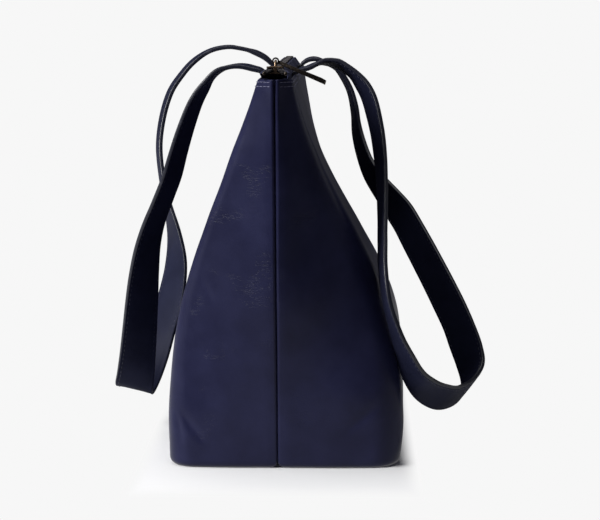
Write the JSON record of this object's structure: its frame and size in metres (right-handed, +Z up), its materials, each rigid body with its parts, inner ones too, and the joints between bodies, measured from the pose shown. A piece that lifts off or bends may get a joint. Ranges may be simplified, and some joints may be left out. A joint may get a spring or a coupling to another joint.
{
  "type": "leather tote bag",
  "caption": "Tall zip-top leather shoulder tote with a flat base, side seam ridges, gathered mouth, metal zip with bar pull, and flat straps draped over front and back.",
  "frame": {"origin": "middle of the base, on the ground the bag stands on", "axes": "+X along the bag's width towards the zip's open end, +Y to the back, +Z up; metres"},
  "size_m": [0.4266, 0.2859, 0.3016],
  "materials": {
    "navy_leather": "smooth, semi-matt, very dark navy",
    "strap_leather": "smooth, semi-matt, near-black navy",
    "lining_cloth": "plain weave, matt (guess: not seen)",
    "tape_cloth": "woven zip tape, matt",
    "base_fibreboard": "plain board (guess: not seen)",
    "gunmetal": "dark plated metal"
  },
  "bodies": {
    "bag": {"front_panel": "navy_leather", "back_panel": "navy_leather", "base_panel": "navy_leather", "base_board": "base_fibreboard", "lining": "lining_cloth", "front_facing": "navy_leather", "back_facing": "navy_leather", "zip_tape_front": "tape_cloth", "zip_tape_back": "tape_cloth", "zip_teeth_front": "gunmetal", "zip_teeth_back": "gunmetal", "zip_top_stop_front": "gunmetal", "zip_top_stop_back": "gunmetal", "zip_bottom_stop": "gunmetal", "front_strap_tab_near": "strap_leather", "front_strap_tab_far": "strap_leather", "back_strap_tab_near": "strap_leather", "back_strap_tab_far": "strap_leather"},
    "slider": {"zip_slider": "gunmetal"},
    "pull": {"zip_pull": "gunmetal"},
    "front_arch": {"front_strap_arch_near": "strap_leather", "front_strap_arch_far": "strap_leather"},
    "front_loop": {"front_strap_loop": "strap_leather"},
    "back_arch": {"back_strap_arch_near": "strap_leather", "back_strap_arch_far": "strap_leather"},
    "back_loop": {"back_strap_loop": "strap_leather"}
  },
  "joints": [
    {"name": "zip_slide", "type": "slide", "parent": "bag", "child": "slider", "axis": [-1, 0, 0], "range_m": [0, 0.37], "deforming": ["zip_teeth_front", "zip_teeth_back", "zip_tape_front", "zip_tape_back"]},
    {"name": "pull_swing", "type": "hinge", "parent": "slider", "child": "pull", "pos_m": [0.188, 0, 0.2953], "axis": [1, 0, 0], "range_deg": [0, 220]},
    {"name": "front_lift", "type": "hinge", "parent": "bag", "child": "front_arch", "pos_m": [0.085, -0.022, 0.285], "axis": [-0.9991, -0.0118, 0.0411], "range_deg": [0, 75]},
    {"name": "front_straighten", "type": "hinge", "parent": "front_arch", "child": "front_loop", "pos_m": [0.08415, -0.0525, 0.2794], "axis": [-0.989, -0.1381, 0.0535], "range_deg": [0, 75]},
    {"name": "back_lift", "type": "hinge", "parent": "bag", "child": "back_arch", "pos_m": [0.085, 0.023, 0.2855], "axis": [0.9997, 0.0188, -0.0147], "range_deg": [0, 75]},
    {"name": "back_straighten", "type": "hinge", "parent": "back_arch", "child": "back_loop", "pos_m": [0.08797, 0.0525, 0.2845], "axis": [0.9981, 0.058, 0.0203], "range_deg": [0, 75]}
  ],
  "couplings": [
    {"joint": "front_straighten", "follows": "front_lift", "ratio": 1},
    {"joint": "back_straighten", "follows": "back_lift", "ratio": 1}
  ]
}
